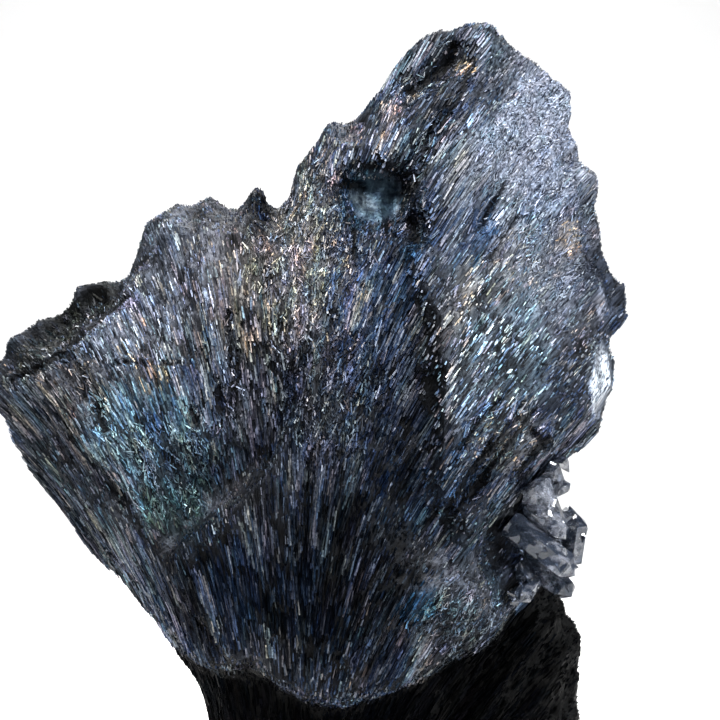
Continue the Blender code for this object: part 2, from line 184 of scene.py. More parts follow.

# Most patches are patina colours; the dark patches over the low middle, the valley, the grooves and the lower
# left are painted shade.
# x, z, half width, half height, turn, strength, colour
tarnish_and_shade = (
    (-20.5, 52.0, 9.5, 12.5, 14, 0.80, TEAL),
    (-20.5, 54.5, 7.0, 7.0, 14, 0.22, BLUE),
    (-28.0, 54.5, 4.0, 6.0, 30, 0.30, SEA),
    (-18.0, 43.5, 5.5, 5.0, 30, 0.60, GREEN),
    (-18.0, 49.0, 3.0, 4.0, 0, 0.35, DARK_AND_SHADE),
    (-24.0, 66.5, 3.5, 3.5, 0, 0.30, GOLD),
    (-26.0, 68.0, 2.0, 4.0, 0, 0.30, PINK),
    (-21.0, 61.5, 3.5, 2.5, 0, 0.28, GOLD),
    (-31.5, 60.0, 5.0, 5.0, 0, 0.35, BRONZE),
    (-27.0, 69.0, 8.0, 7.0, 0, 0.80, PALE),
    (10.0, 97.0, 8.0, 8.0, -30, 0.20, PALE),
    (-18.0, 77.0, 7.0, 10.0, 0, 0.60, PALE),
    (-12.0, 76.0, 8.0, 10.0, 0, 0.35, BRONZE),
    (-4.0, 76.0, 9.0, 11.0, -10, 0.22, BRONZE),
    (-3.0, 77.0, 9.0, 11.0, -10, 0.32, CREAM),
    (-8.0, 73.0, 2.4, 2.6, 0, 0.35, CREAM),
    (-7.3, 66.8, 1.2, 2.6, 0, 0.40, CREAM),
    (-4.4, 67.4, 0.8, 2.4, 10, 0.45, CREAM),
    (4.0, 90.2, 1.8, 1.8, 0, 0.50, PINK),
    (6.5, 95.3, 1.2, 1.2, 0, 0.50, PINK),
    (1.5, 90.0, 5.0, 7.0, 0, 0.22, CREAM),
    (11.8, 99.3, 1.6, 2.0, -20, 0.55, PINK),
    (22.8, 106.2, 1.4, 1.6, -20, 0.45, GOLD),
    (-6.9, 84.6, 2.2, 3.8, 0, 0.60, NAVY),
    (10.0, 86.5, 5.5, 5.5, 0, 0.96, PETROL),
    (8.4, 86.0, 2.8, 1.3, -35, 0.10, BRONZE),
    (14.5, 79.2, 1.6, 2.2, 0, 0.75, BLUE),
    (14.4, 74.0, 2.0, 2.4, 0, 0.60, BLUE),
    (12.5, 73.5, 6.0, 14.0, -12, 0.25, NAVY),
    (-13.5, 60.0, 3.0, 9.0, 8, 0.40, NAVY),
    (24.2, 81.5, 2.6, 6.0, -25, 0.75, NAVY),
    (24.6, 80.5, 1.6, 4.0, -25, 0.45, BLUE),
    (17.5, 94.0, 6.0, 9.0, -30, 0.30, DARK_AND_SHADE),
    (17.0, 106.5, 4.5, 4.0, -30, 0.30, DARK_AND_SHADE),
    (34.0, 98.5, 7.0, 12.0, -35, 0.50, PALE),
    (35.0, 86.0, 8.0, 8.0, -35, 0.30, PALE),
    (28.4, 76.0, 4.0, 7.0, -35, 0.22, CREAM),
    (37.5, 81.0, 2.0, 3.0, 0, 0.35, GOLD),
    (22.0, 71.0, 1.8, 7.0, -6, 0.50, CREAM),
    (22.6, 67.0, 1.6, 5.0, -6, 0.45, SEA),
    (22.5, 50.0, 6.0, 7.5, -40, 0.22, NAVY),
    (20.4, 49.0, 4.0, 6.0, -40, 0.35, BLUE),
    (26.0, 62.0, 8.0, 10.0, -40, 0.35, SEA),
    (27.5, 53.0, 4.0, 6.0, -40, 0.30, CREAM),
    (16.0, 54.0, 3.5, 17.0, -6, 0.35, DARK_AND_SHADE),
    (3.5, 34.0, 15.0, 17.0, 0, 0.40, DARK_AND_SHADE),
    (3.5, 37.0, 12.0, 14.0, 0, 0.30, NAVY),
    (5.5, 55.0, 10.0, 13.0, -10, 0.25, NAVY),
    (-10.0, 36.0, 6.0, 8.0, 20, 0.45, NAVY),
    (-17.0, 31.0, 3.0, 8.0, 20, 0.70, DARK_AND_SHADE),
    (15.8, 31.0, 2.6, 3.2, -35, 0.75, AZURE),
    (19.5, 29.0, 6.0, 5.0, -35, 0.25, TEAL),
    (13.0, 27.0, 4.0, 3.0, -35, 0.20, CREAM),
    (41.0, 77.0, 3.0, 4.0, -20, 0.65, DARK_AND_SHADE),
    # painted shade: the near-black strip along the upper left ledge
    (-36.0, 68.4, 10.0, 4.4, 39, 0.92, LEDGE_SHADE),
    (-30.0, 73.0, 3.6, 3.0, 0, 0.90, LEDGE_SHADE),
)
# x, z, half width, half height, turn, raggedness: the smooth glossy face on the right rim, lightened as a
# painted reflection
reflection_face = (42.0, 60.0, 2.8, 6.6, -5, 1.1)
# the same, and the y of its back edge
pit_floor = (10.1, 86.7, 4.4, 4.2, 0, 0.35, 20)
# the same, and the gloss: smooth faces with no needles on them
smooth_faces = (
    (*pit_floor, 0.10),
    (42.8, 73.5, 2.2, 5.0, 0, 1.1, -6, 0.6),
    (42.1, 60.0, 2.4, 6.4, -5, 1.1, -6, 0.6),
)
# half width, depth, then x, z down the line: cracks, slots and the foot of each step, cut in and darkened as
# painted shade
seams = (
    (0.55, 0.85, ((-42.5, 60.9), (-38.2, 62.6), (-34.0, 65.4), (-31.6, 68.2), (-28.2, 70.9), (-25.7, 72.8))),
    (0.35, 0.80, ((-33.5, 65.2), (-31.2, 61.5), (-30.8, 58.3))),
    (0.32, 0.75, ((-27.4, 63.3), (-25.0, 63.8), (-22.0, 63.2), (-19.8, 63.6), (-17.2, 63.3))),
    (0.50, 1.00, ((-29.1, 57.1), (-27.9, 54.2))),
    (0.45, 1.00, ((-15.5, 57.0), (-14.7, 54.8))),
    (1.10, 0.60, ((-18.8, 50.2), (-17.4, 48.5))),
    (0.55, 0.45, ((-36.4, 57.6), (-31.4, 51.0), (-25.6, 45.2), (-21.9, 39.0))),
    (0.30, 0.80, ((-10.5, 70.6), (-10.2, 57.0))),
    (0.35, 0.90, ((-9.3, 65.2), (-9.4, 55.7))),
    (0.30, 0.90, ((-11.7, 60.5), (-11.4, 54.5))),
    (0.70, 1.00, ((5.6, 88.7), (8.0, 88.3))),
    (0.90, 1.00, ((14.5, 83.8), (15.2, 80.9))),
    (0.45, 0.90, ((6.8, 82.0), (6.9, 78.2))),
    (0.75, 1.00, ((14.6, 102.5), (16.9, 103.9), (19.1, 105.3), (20.6, 107.3), (21.2, 109.2))),
    (0.50, 0.75, ((24.0, 107.2), (21.0, 100.1), (17.4, 95.4), (15.6, 90.0), (14.8, 84.0))),
    (0.35, 0.90, ((24.2, 82.2), (28.1, 88.9))),
    (0.35, 0.90, ((25.5, 77.3), (29.9, 84.0))),
    (0.40, 1.00, ((19.2, 43.7), (22.1, 48.1), (25.6, 53.2))),
    (0.35, 1.00, ((20.2, 42.9), (24.6, 48.5), (27.2, 51.4))),
    (0.40, 1.00, ((22.1, 47.9), (25.7, 52.1), (29.5, 56.2))),
    (0.35, 0.90, ((20.9, 51.8), (23.9, 55.6), (26.5, 58.6))),
    (0.35, 0.90, ((25.7, 49.3), (28.5, 52.9), (31.4, 56.9))),
    (0.30, 0.90, ((22.8, 45.4), (25.0, 47.9))),
    (0.30, 0.80, ((27.2, 54.3), (30.2, 58.2))),
    (0.60, 1.00, ((29.5, 47.8), (31.2, 50.5), (33.2, 53.1))),
    (0.40, 1.00, ((31.5, 54.2), (33.2, 51.4))),
)
# half width, height, then x, z down the line: sharp edges and ridges, raised, and brightened as a painted
# highlight
crests = (
    (0.50, 0.60, ((-40.8, 61.3), (-38.4, 60.3), (-35.5, 58.2), (-30.1, 51.5), (-24.3, 46.0), (-20.6, 39.4))),
    (0.70, 0.80, ((-15.7, 39.1), (-14.3, 33.3), (-13.0, 29.9), (-10.6, 23.7))),
    (0.80, 0.60, ((22.6, 76.1), (22.2, 71.9), (21.3, 67.8), (20.9, 63.8), (20.2, 59.2))),
    (0.35, 0.70, ((19.1, 45.3), (18.5, 51.9), (19.0, 58.5), (19.6, 63.8))),
    (0.60, 0.60, ((-16.0, 39.5), (-14.0, 43.3), (-10.1, 45.2), (-6.6, 48.6))),
    (0.80, 0.50, ((15.6, 37.0), (19.7, 35.0), (23.6, 33.1))),
    (0.35, 0.60, ((26.5, 98.0), (29.5, 95.5), (36.5, 90.5))),
)
# x, z, half width, half height, turn, strength: where the needles are even and the body between them is
# darkened less, so the mass is paler
calm = (
    (33.0, 95.0, 11.0, 19.0, -35, 1.0),
    (35.0, 76.0, 8.0, 10.0, -20, 0.6),
)
# x, z, half width, half height, turn, strength: where the mass is darkened most as painted shade, and its
# needles are least even
shade_patches = (
    (4.0, 35.0, 14.0, 16.0, 0, 1.20),
    (15.6, 56.0, 4.0, 19.0, -6, 0.60),
    (6.0, 55.0, 10.0, 13.0, -10, 0.75),
    (-11.0, 33.0, 7.0, 10.0, 20, 0.75),
    (13.5, 79.0, 4.0, 13.0, -15, 0.35),
    (19.5, 27.0, 8.0, 5.0, -35, 0.30),
    (17.5, 106.0, 3.0, 3.0, -30, 0.25),
    (-7.0, 84.8, 2.0, 3.6, 0, 0.90),
    (10.1, 86.7, 4.6, 4.4, 0, 0.20),
    (0.0, 80.0, 10.0, 12.0, 0, 0.12),
)
# x, z down the front: below this line the mass is cut in underneath, and painted near black as the shade
# under it
painted_shade_line = ((-60, 30), (-14, 22), (-7.5, 24), (-2, 19.5), (5.6, 17.5), (15.6, 20.5), (27.1, 27.5),
            (34.1, 33), (60, 45))


def mottle(points, size, seed):
    """Soft random values from 0 to 1 at points in millimetres, with lumps of this size."""
    spot = points / size + seed * 17.31
    cell = np.floor(spot).astype(int)
    part = spot - cell
    part = part * part * (3 - 2 * part)
    value = np.zeros(len(points))
    for dx in (0, 1):
        for dy in (0, 1):
            for dz in (0, 1):
                share = np.ones(len(points))
                for axis, step in enumerate((dx, dy, dz)):
                    share = share * (part[:, axis] if step else 1 - part[:, axis])
                corner = (cell + (dx, dy, dz)) % LATTICE
                value += share * lattice[corner[:, 0], corner[:, 1], corner[:, 2]]
    return value


def mixed(low, high, share):
    return low + (high - low) * share


def rising(values, start, end):
    """0 before start, 1 after end, smooth between them."""
    part = np.clip((values - start) / (end - start), 0, 1)
    return part * part * (3 - 2 * part)


def unit(vectors):
    return vectors / np.maximum(np.linalg.norm(vectors, axis=1), 1e-9)[:, None]


def needle_way(points):
    """The direction the needles run at points in millimetres: they fan out from the axis and
    lean with the front and the back of the mass."""
    x = points[:, 0] - AXIS_X
    y = points[:, 1]
    z = points[:, 2]
    lean = np.where(x > 0, RIGHT_LEAN * (1 - np.exp(-np.abs(x) / RIGHT_REACH)), LEFT_LEAN * x)
    front = mixed(*FRONT_LEAN, rising(z, 45, 65))
    back = mixed(*BACK_LEAN, rising(z, 40, 70))
    depth = mixed(front, back, np.clip((y + 22) / 40, 0, 1))
    return unit(np.stack([np.tan(np.radians(lean)), depth, np.ones(len(x))], axis=1))


def streaks(points, width, length, seed):
    """Random values, about -1 to 1, that hardly change along the needles and change across them."""
    steps = 4
    total = mottle(points, width, seed)
    for side in (-1, 1):
        spot = points.copy()
        for _ in range(steps):
            spot = spot + side * needle_way(spot) * length / (2 * steps + 1)
            total = total + mottle(spot, width, seed)
    return np.clip((total - total.mean()) / (2 * total.std()), -1.2, 1.2)


def strand_at(points, level, width, length):
    """Where the needle through each point passes this level, so that a pattern follows the needles."""
    steps = 16
    spot = points.copy()
    rise = (level - points[:, 2]) / steps
    for _ in range(steps):
        way = needle_way(spot)
        spot = spot + way * (rise / way[:, 2])[:, None]
    return np.stack([spot[:, 0] / width, spot[:, 1] / width, points[:, 2] / length], axis=1)


def patch(points, x, z, wide, high, turn, ragged=1.0):
    """1 in the middle of a turned oval patch on the front, fading to 0 past its edge."""
    dx = points[:, 0] - x
    dz = points[:, 2] - z
    c = math.cos(math.radians(turn))
    s = math.sin(math.radians(turn))
    reach = np.hypot((dx * c + dz * s) / wide, (dz * c - dx * s) / high)
    reach += ragged * (0.55 * (mottle(points, 4.5, 8) - 0.5) + 0.35 * (mottle(points, 1.6, 9) - 0.5))
    return (1 - rising(reach, 0.45, 1.25)) * (1 - rising(points[:, 1], 2, 9))


def near(points, lines):
    """1 on the nearest of these ragged lines on the front, times its strength, fading to 0 beside it."""
    most = np.zeros(len(points))
    ragged = 0.45 * (mottle(points, 1.3, 15) - 0.5) + 0.35 * (mottle(points, 0.5, 16) - 0.5)
    for wide, strength, line in lines:
        away = np.full(len(points), np.inf)
        for (ax, az), (bx, bz) in zip(line, line[1:]):
            dx = bx - ax
            dz = bz - az
            share = np.clip(((points[:, 0] - ax) * dx + (points[:, 2] - az) * dz) / (dx * dx + dz * dz), 0, 1)
            away = np.minimum(away, np.hypot(points[:, 0] - ax - share * dx, points[:, 2] - az - share * dz))
        most = np.maximum(most, strength * (1 - rising(away / wide + ragged, 0.5, 1.3)))
    return most * (1 - rising(points[:, 1], 2, 7))


def smooth_face(points, x, z, wide, high, turn, ragged, back):
    """1 on this smooth face, 0 elsewhere."""
    within = rising(patch(points, x, z, wide, high, turn, ragged), 0.30, 0.70)
    depth = points[:, 1] + 2.4 * ragged * (mottle(points, 1.6, 41) - 0.5)
    return within * (1 - rising(depth, back - 1.5, back + 1.5))


def bare(points):
    """1 on the smooth faces, 0 elsewhere."""
    return np.max([smooth_face(points, *face) for *face, _ in smooth_faces], axis=0)


def strongest(points, spots):
    """The strength of the strongest of these patches at each point."""
    return np.max([patch(points, *spot) * strength for *spot, strength in spots], axis=0)


def toned_and_shaded(colours, tone):
    """The colours times their tone, which holds random variation, painted shade and painted highlight; darker
    metal is made bluer and brighter metal a little warmer.
    """
    dull = np.clip(0.5 - 0.5 * np.log(tone), 0, 1)[:, None]
    return colours * tone[:, None] * mixed(np.array(WARM_BRIGHT), np.array(COLD_DULL), dull)


def tarnished_and_shaded(points, dice=None):
    """The metal's colour at points in millimetres, with painted shade in some dark patches and on the
    underside, and a painted reflection on the right rim. With dice, one number a needle, each needle takes
    one of the patch colours whole, as real needles do."""
    colour = np.tile(np.array(STEEL), (len(points), 1))
    cloud = mottle(points, 13, 11)
    cloud_fine = mottle(points, 5, 12)
    spread = [(rising(cloud, 0.48, 0.75) * 0.6, NAVY), (rising(cloud_fine, 0.6, 0.85) * 0.35, TEAL),
              (rising(1 - cloud, 0.50, 0.8) * 0.45, DARK_AND_SHADE), (rising(1 - cloud_fine, 0.6, 0.85) * 0.22, BRONZE)]
    spread += [(patch(points, *spot) * strength, shade) for *spot, strength, shade in tarnish_and_shade]
    for number, (share, shade) in enumerate(spread):
        if dice is not None:
            roll = np.modf(dice * (37.7 + 11.3 * number))[0]
            share = (roll < share) * 0.75 + share * 0.25
        colour = mixed(colour, np.array(shade), share[:, None])
    striped = rising(mottle(points * np.array((1, 1, 0.25)), 0.9, 31), 0.25, 0.65)
    # Painted reflection: the smooth face on the right rim is lightened in streaks.
    reflection = patch(points, *reflection_face) * (1 - rising(points[:, 1], -9, -3.5))
    colour = mixed(colour, np.array(REFLECTION_SILVER), (reflection * mixed(0.45, 0.95, striped))[:, None])
    # Painted shade: under this line on the front, the underside is made near black.
    line = np.interp(points[:, 0], *zip(*painted_shade_line)) - points[:, 2] + 2.2 * (mottle(points, 2.5, 14) - 0.5)
    below = rising(line, 0.2, 2.0) * (1 - rising(points[:, 1], 4, 14)) * 0.99
    return mixed(colour, np.array(UNDERSIDE_SHADE), below[:, None])


def mesh_points(mesh):
    found = np.empty(len(mesh.vertices) * 3)
    mesh.vertices.foreach_get("co", found)
    return found.reshape(-1, 3)


def mesh_normals(mesh):
    found = np.empty(len(mesh.vertices) * 3, np.float32)
    mesh.vertex_normals.foreach_get("vector", found)
    return found.reshape(-1, 3).astype(float)


def keep_colours(mesh, name, colours):
    """Stores one colour a point on the mesh."""
    full = np.ones((len(colours), 4))
    full[:, :3] = colours
    mesh.color_attributes.new(name, "FLOAT_COLOR", "POINT").data.foreach_set("color", full.ravel())


def keep_numbers(mesh, name, values):
    """Stores one number, or one vector, a point on the mesh."""
    if values.ndim == 1:
        mesh.attributes.new(name, "FLOAT", "POINT").data.foreach_set("value", values)
    else:
        mesh.attributes.new(name, "FLOAT_VECTOR", "POINT").data.foreach_set("vector", values.ravel())


grown = bmesh.new()
grown.from_mesh(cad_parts["berthierite_fan"].data)
bmesh.ops.remove_doubles(grown, verts=grown.verts, dist=0.00001)
fan_body = piece_from(grown, "fan_body")
remesh = fan_body.modifiers.new("fine_skin", "REMESH")
remesh.mode = "VOXEL"
remesh.voxel_size = VOXEL
smooth = fan_body.modifiers.new("soften", "SMOOTH")
smooth.factor = 0.5
smooth.iterations = 5
graph = bpy.context.evaluated_depsgraph_get()
fine = bpy.data.meshes.new_from_object(fan_body.evaluated_get(graph))
fan_body.modifiers.clear()
fan_body.data = fine

points = mesh_points(fine) / MM
normals = mesh_normals(fine)
glossy = np.max([smooth_face(points, *face) * gloss for *face, gloss in smooth_faces], axis=0)
relief = sum(height * streaks(points, width, length, seed) for width, length, height, seed in RIBS)
relief = (relief + GRAIN_HIGH * (mottle(points, 0.9, 4) - 0.5)) * (1 - 0.85 * glossy)
seam = near(points, seams)
crest = near(points, crests) * (1 - seam)
relief += CREST_HIGH * crest - SEAM_DEEP * seam
resting = rising(points[:, 2], 0.4, 1.6)
points += normals * ((relief - SKIN) * resting)[:, None]
points[:, 2] = np.maximum(points[:, 2], 0)
fine.vertices.foreach_set("co", (points * MM).ravel())
fine.update()
# Painted shade: the body shows in the gaps between the needles and is darkened there, most in the hollows of
# its ribs, in the seams and in the shade patches, less on the calm patches and not at all on the bare smooth
# faces.
tone = mixed(0.05, 0.18, rising(relief, -0.30, 0.25))
tone = mixed(mixed(tone, 0.50, strongest(points, calm)), 1.0, bare(points))
tone *= (1 - 0.9 * seam) * np.exp(-1.6 * strongest(points, shade_patches))
keep_colours(fine, "tarnish_and_shade", toned_and_shaded(tarnished_and_shaded(points), np.maximum(tone, 0.02)))
keep_numbers(fine, "glossy", glossy)
keep_numbers(fine, "specked", smooth_face(points, *pit_floor))
for name, level in (("strand_low", 25), ("strand_middle", 60), ("strand_high", 95)):
    keep_numbers(fine, name, strand_at(points, level, STRAND_WIDE, STRAND_LONG))

# The stored colour on the metal, patina with painted shade in it, made darker and brighter by a fine pattern.
# The body and the needles both use it.
patterned = bpy.data.node_groups.new("patterned_tarnish_and_shade", "ShaderNodeTree")
for name, kind in (("Tarnish_and_shade", "NodeSocketColor"), ("Pattern", "NodeSocketFloat"),
                   ("Start", "NodeSocketFloat"), ("End", "NodeSocketFloat"),
                   ("Dark", "NodeSocketColor"), ("Bright", "NodeSocketColor")):
    patterned.interface.new_socket(name, in_out="INPUT", socket_type=kind)
patterned.interface.new_socket("Color", in_out="OUTPUT", socket_type="NodeSocketColor")
given = patterned.nodes.new("NodeGroupInput")
result = patterned.nodes.new("NodeGroupOutput")
strength = patterned.nodes.new("ShaderNodeMapRange")
patterned.links.new(given.outputs["Pattern"], strength.inputs["Value"])
patterned.links.new(given.outputs["Start"], strength.inputs["From Min"])
patterned.links.new(given.outputs["End"], strength.inputs["From Max"])
tone_mix = patterned.nodes.new("ShaderNodeMix")
tone_mix.data_type = "RGBA"
patterned.links.new(strength.outputs["Result"], tone_mix.inputs["Factor"])
patterned.links.new(given.outputs["Dark"], tone_mix.inputs["A"])
patterned.links.new(given.outputs["Bright"], tone_mix.inputs["B"])
toned = patterned.nodes.new("ShaderNodeMix")
toned.data_type = "RGBA"
toned.blend_type = "MULTIPLY"
toned.inputs["Factor"].default_value = 1.0
patterned.links.new(given.outputs["Tarnish_and_shade"], toned.inputs["A"])
patterned.links.new(tone_mix.outputs["Result"], toned.inputs["B"])
patterned.links.new(toned.outputs["Result"], result.inputs["Color"])


def patterned_tarnish_and_shade(nodes, links, pattern, start, end, dark, bright):
    """The patina and painted shade stored on the mesh, toned by this pattern."""
    tint = nodes.new("ShaderNodeAttribute")
    tint.attribute_name = "tarnish_and_shade"
    group = nodes.new("ShaderNodeGroup")
    group.node_tree = patterned
    links.new(tint.outputs["Color"], group.inputs["Tarnish_and_shade"])
    links.new(pattern, group.inputs["Pattern"])
    group.inputs["Start"].default_value = start
    group.inputs["End"].default_value = end
    group.inputs["Dark"].default_value = (*dark, 1)
    group.inputs["Bright"].default_value = (*bright, 1)
    return group.outputs["Color"]


body_metal = bpy.data.materials.new("berthierite_body")
body_metal.use_nodes = True
nodes = body_metal.node_tree.nodes
links = body_metal.node_tree.links
shader = nodes["Principled BSDF"]
shader.inputs["Metallic"].default_value = 0.9
place = nodes.new("ShaderNodeTexCoord")
height = nodes.new("ShaderNodeSeparateXYZ")
links.new(place.outputs["Object"], height.inputs["Vector"])


def level_share(start, end):
    """0 below start and 1 above end, in metres above the floor."""
    ramp = nodes.new("ShaderNodeMapRange")
    ramp.inputs["From Min"].default_value = start
    ramp.inputs["From Max"].default_value = end
    links.new(height.outputs["Z"], ramp.inputs["Value"])
    return ramp.outputs["Result"]


def strand_noise(name):
    """Fine grain drawn out along the needles."""
    strand = nodes.new("ShaderNodeAttribute")
    strand.attribute_name = name
    grain = nodes.new("ShaderNodeTexNoise")
    grain.inputs["Scale"].default_value = 1.0
    grain.inputs["Detail"].default_value = 3
    grain.inputs["Roughness"].default_value = 0.65
    links.new(strand.outputs["Vector"], grain.inputs["Vector"])
    return grain.outputs["Fac"]


def node_mix(share, low, high):
    part = nodes.new("ShaderNodeMix")
    links.new(share, part.inputs["Factor"])
    links.new(low, part.inputs["A"])
    links.new(high, part.inputs["B"])
    return part.outputs["Result"]


lower = node_mix(level_share(0.036, 0.048), strand_noise("strand_low"), strand_noise("strand_middle"))
grain = node_mix(level_share(0.070, 0.084), lower, strand_noise("strand_high"))
ribbed = patterned_tarnish_and_shade(nodes, links, grain, 0.38, 0.68, (0.03, 0.04, 0.07), (2.0, 1.9, 1.8))
mottled = nodes.new("ShaderNodeTexNoise")
mottled.inputs["Scale"].default_value = 1300
mottled.inputs["Detail"].default_value = 4
links.new(place.outputs["Object"], mottled.inputs["Vector"])
specked = patterned_tarnish_and_shade(nodes, links, mottled.outputs["Fac"], 0.35, 0.68,
                            (0.30, 0.34, 0.40), (1.7, 1.5, 1.25))
gloss_share = nodes.new("ShaderNodeAttribute")
gloss_share.attribute_name = "glossy"
speck_share = nodes.new("ShaderNodeAttribute")
speck_share.attribute_name = "specked"
surface_colour = nodes.new("ShaderNodeMix")
surface_colour.data_type = "RGBA"
links.new(speck_share.outputs["Fac"], surface_colour.inputs["Factor"])
links.new(ribbed, surface_colour.inputs["A"])
links.new(specked, surface_colour.inputs["B"])
links.new(surface_colour.outputs["Result"], shader.inputs["Base Color"])
rough = nodes.new("ShaderNodeMapRange")
rough.inputs["To Min"].default_value = 0.60
rough.inputs["To Max"].default_value = 0.32
links.new(gloss_share.outputs["Fac"], rough.inputs["Value"])
links.new(rough.outputs["Result"], shader.inputs["Roughness"])
bump = nodes.new("ShaderNodeBump")
bump.inputs["Strength"].default_value = 0.9
bump.inputs["Distance"].default_value = 0.00018
links.new(node_mix(speck_share.outputs["Fac"], grain, mottled.outputs["Fac"]), bump.inputs["Height"])
links.new(bump.outputs["Normal"], shader.inputs["Normal"])
fine.materials.clear()
fine.materials.append(body_metal)
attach(fan_body, "root")
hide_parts("berthierite_fan")

# The needles: slender three-sided crystals that cover the whole mass. They run with the
# fan, lie along its faces and end in blunt broken tips on the rims. Each coat is one piece.
COATS = (("needles_left", 21), ("needles_middle", 22), ("needles_slab", 23), ("needles_behind", 24))
NEEDLES_A_COAT = 24900
LEFT_ENDS = -3
SLAB_STARTS = 17
BACK_STARTS = 6
NEEDLE_WIDE = (0.13, 0.30)
NEEDLE_LONG = 3.0
BROKEN_LONG = 0.8
TIP_STANDS = 0.09
BED = 0.20
SMOOTHING_ROUNDS = 30
# x, z, half width, half height, turn, length: where the needles are broken short
short_grained = (
    (34.5, 97.0, 9.0, 14.0, -35, 0.5),
    (21.0, 28.0, 8.0, 8.0, -35, 0.7),
    (0.0, 79.0, 11.0, 15.0, 0, 0.8),
    (4.0, 60.0, 10.0, 14.0, 0, 1.1),
    (37.0, 80.0, 8.0, 9.0, -35, 0.8),
    (-19.0, 49.0, 8.0, 9.0, 12, 0.8),
    (-35.0, 68.0, 10.0, 4.0, 39, 0.7),
)

fine.calc_loop_triangles()
corners = np.empty(len(fine.loop_triangles) * 3, np.int32)
fine.loop_triangles.foreach_get("vertices", corners)
corners = corners.reshape(-1, 3)
triangle = points[corners]
area = np.linalg.norm(np.cross(triangle[:, 1] - triangle[:, 0], triangle[:, 2] - triangle[:, 0]), axis=1) / 2
middle = triangle.mean(axis=1)
surface = BVHTree.FromPolygons(points.tolist(), corners.tolist())
bed = points - normals * (BED * (1 - bare(points)) * resting)[:, None]
fine.vertices.foreach_set("co", (bed * MM).ravel())
fine.update()

# The needles' flat faces follow the broad lie of the surface, not every small rib.
edges = np.empty(len(fine.edges) * 2, np.int32)
fine.edges.foreach_get("vertices", edges)
edges = edges.reshape(-1, 2)
broad = mesh_normals(fine)
for _ in range(SMOOTHING_ROUNDS):
    total = broad.copy()
    for axis in range(3):
        total[:, axis] += np.bincount(edges[:, 0], broad[edges[:, 1], axis], len(broad))
        total[:, axis] += np.bincount(edges[:, 1], broad[edges[:, 0], axis], len(broad))
    broad = unit(total)


def needle_length(spots):
    """The usual length of a needle at each place, in millimetres."""
    long = np.full(len(spots), NEEDLE_LONG)
    for x, z, wide, high, turn, short in short_grained:
        long = mixed(long, short, patch(spots, x, z, wide, high, turn))
    beside_seams = near(spots, [(3.5 * wide, depth, line) for wide, depth, line in seams])
    return mixed(long, BROKEN_LONG, beside_seams)


in_front = middle[:, 1] < BACK_STARTS
regions = {
    "needles_left": in_front & (middle[:, 0] < LEFT_ENDS),
    "needles_middle": in_front & (middle[:, 0] >= LEFT_ENDS) & (middle[:, 0] < SLAB_STARTS),
    "needles_slab": in_front & (middle[:, 0] >= SLAB_STARTS),
    "needles_behind": ~in_front,
}
coverage = area * (middle[:, 2] > 0.5) * (1 - bare(middle)) / needle_length(middle) ** 0.7


def needle_stock(name, count):
    """So many copies of one three-sided needle of unit size, in one mesh."""
    one = bmesh.new()
    bmesh.ops.create_cone(one, cap_ends=True, cap_tris=False, segments=3, radius1=0.60, radius2=0.42, depth=1)
    made = piece_from(one, name)
    shape = mesh_points(made.data)
    row = made.modifiers.new("row", "ARRAY")
    row.count = count
    row.relative_offset_displace = (0, 0, 0)
    whole = bpy.data.meshes.new_from_object(made.evaluated_get(bpy.context.evaluated_depsgraph_get()))
    made.modifiers.clear()
    made.data = whole
    return made, shape


def pulled_in(spots, way, long, allowed):
    """Slides each needle along itself until neither tip stands further out than allowed, then
    breaks short the few that still do."""
    spots = spots.copy()
    long = long.copy()
    for turn in range(2):
        for side in (1, -1):
            tips = spots + way * (side * long / 2)[:, None]
            for number, tip in enumerate(tips):
                near_spot, out, _, _ = surface.find_nearest(tip)
                gap = Vector(tip) - near_spot
                over = gap.length - allowed[number]
                if gap.dot(out) > 0 and over > 0:
                    if turn:
                        long[number] *= 0.4
                    else:
                        spots[number] -= side * way[number] * over / max(0.35, abs(out.dot(way[number])))
    return spots, long


needle_metal = bpy.data.materials.new("berthierite_needles")
needle_metal.use_nodes = True
nodes = needle_metal.node_tree.nodes
links = needle_metal.node_tree.links
shader = nodes["Principled BSDF"]
shader.inputs["Metallic"].default_value = 1.0
place = nodes.new("ShaderNodeTexCoord")
film = nodes.new("ShaderNodeTexNoise")
film.inputs["Scale"].default_value = 2600
film.inputs["Detail"].default_value = 3
links.new(place.outputs["Object"], film.inputs["Vector"])
filmed = patterned_tarnish_and_shade(nodes, links, film.outputs["Fac"], 0.35, 0.65,
                           (0.42, 0.44, 0.48), (1.42, 1.40, 1.36))
links.new(filmed, shader.inputs["Base Color"])
gloss = nodes.new("ShaderNodeMapRange")
gloss.inputs["To Min"].default_value = 0.50
gloss.inputs["To Max"].default_value = 0.74
links.new(film.outputs["Fac"], gloss.inputs["Value"])
links.new(gloss.outputs["Result"], shader.inputs["Roughness"])


def needle_seats(rng, region):
    """Draws the needles' places in one region, off the gaps between their bundles. For each needle
    it gives its place, the way out of the surface, its usual length, and the strand, gap and seam."""
    drawn = 2 * NEEDLES_A_COAT
    weight = coverage * region
    chosen = rng.choice(len(area), drawn, p=weight / weight.sum())
    share = rng.dirichlet((1, 1, 1), drawn)
    spot = (triangle[chosen] * share[:, :, None]).sum(axis=1)
    out = unit((broad[corners[chosen]] * share[:, :, None]).sum(axis=1))
    usual = needle_length(spot)
    strand = mixed(streaks(spot, 0.60, 1.4, 34), streaks(spot, 0.62, 7.0, 31), rising(usual, 0.9, 2.2))
    gap = np.minimum(np.abs(strand), 1.5 * np.abs(streaks(spot, 0.95, 8.0, 35)))
    seam = near(spot, seams)
    full = np.flatnonzero((gap > 0.10) & (rng.random(drawn) > 0.6 * seam))[:NEEDLES_A_COAT]
    return [kind[full] for kind in (spot, out, usual, strand, gap, seam)]


